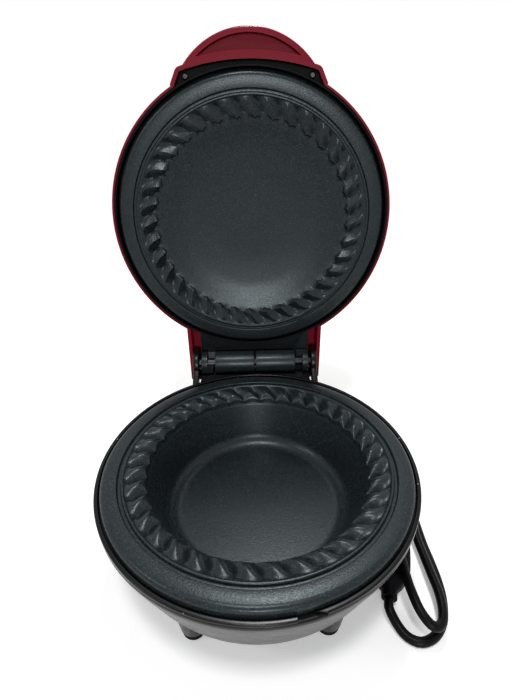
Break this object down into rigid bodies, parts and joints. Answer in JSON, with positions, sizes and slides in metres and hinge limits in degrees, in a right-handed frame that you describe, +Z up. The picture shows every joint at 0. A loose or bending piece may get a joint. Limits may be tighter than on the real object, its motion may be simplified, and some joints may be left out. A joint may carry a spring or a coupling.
{
  "type": "mini pie maker",
  "caption": "Round tabletop pie maker: a bowl-shaped base with a deep fluted baking plate and a domed lid on a rear hinge, standing open, with its cord folded beside it",
  "frame": {"origin": "centre of the footprint of the appliance without its cord, on the table under the feet", "axes": "+Z up, +Y toward the hinge and the rear, +X to the right of someone facing the handle; the appliance without its cord is mirror symmetric across the YZ plane but for the hinge's knuckles"},
  "size_m": [0.1376, 0.1671, 0.1954],
  "materials": {
    "black_gloss_plastic": "glossy black moulded housing",
    "black_trim_plastic": "glossy black moulded trim ring",
    "red_gloss_plastic": "glossy deep red moulded lid",
    "black_liner_plastic": "satin black heat-resistant moulding",
    "non_stick_aluminium": "dark speckled non-stick coat on cast aluminium",
    "black_rubber": "matte black rubber",
    "zinc_plated_steel": "zinc plated steel",
    "blackened_steel": "blackened steel",
    "reflector_steel": "thin aluminised sheet",
    "element_sheath": "heat-tinted steel sheath",
    "thermostat_ceramic": "pale ceramic thermostat body",
    "fuse_sleeve": "woven glass sleeve",
    "wire_insulation": "pale heat-resistant insulation",
    "cord_pvc": "black flexible cord cover",
    "plug_pvc": "black moulded plug",
    "nickel_plated_brass": "nickel plated blades",
    "clear_red_lens": "translucent red lens",
    "lamp_glass": "small lamp"
  },
  "bodies": {
    "base": {"base_shell": "black_gloss_plastic", "base_ring": "black_trim_plastic", "lower_plate": "non_stick_aluminium", "lower_heater": "element_sheath", "lower_reflector": "reflector_steel", "thermostat": "thermostat_ceramic", "thermostat_screw_1": "zinc_plated_steel", "thermostat_screw_2": "zinc_plated_steel", "thermal_fuse": "fuse_sleeve", "wire_neutral": "wire_insulation", "wire_line": "wire_insulation", "wire_link": "wire_insulation", "wire_feed": "wire_insulation", "foot_1": "black_rubber", "foot_2": "black_rubber", "foot_3": "black_rubber", "foot_4": "black_rubber", "base_screw_1": "zinc_plated_steel", "base_screw_2": "zinc_plated_steel", "base_screw_3": "zinc_plated_steel", "hinge_pin": "blackened_steel", "pin_retainer": "blackened_steel", "strain_relief": "black_rubber", "cord_lead": "cord_pvc", "cord_hank": "cord_pvc", "plug_body": "plug_pvc", "plug_pin_1": "nickel_plated_brass", "plug_pin_2": "nickel_plated_brass"},
    "lid": {"lid_shell": "red_gloss_plastic", "lid_liner": "black_liner_plastic", "upper_plate": "non_stick_aluminium", "upper_heater": "element_sheath", "upper_reflector": "reflector_steel", "plate_screw_1": "zinc_plated_steel", "plate_screw_2": "zinc_plated_steel", "plate_screw_3": "zinc_plated_steel", "liner_screw_1": "blackened_steel", "liner_screw_2": "blackened_steel", "indicator_lens": "clear_red_lens", "indicator_lamp": "lamp_glass"}
  },
  "joints": [
    {"name": "lid_hinge", "type": "hinge", "parent": "base", "child": "lid", "pos_m": [0, 0.05229, 0.0475], "axis": [1, 0, 0], "range_deg": [0, 91.6]}
  ]
}
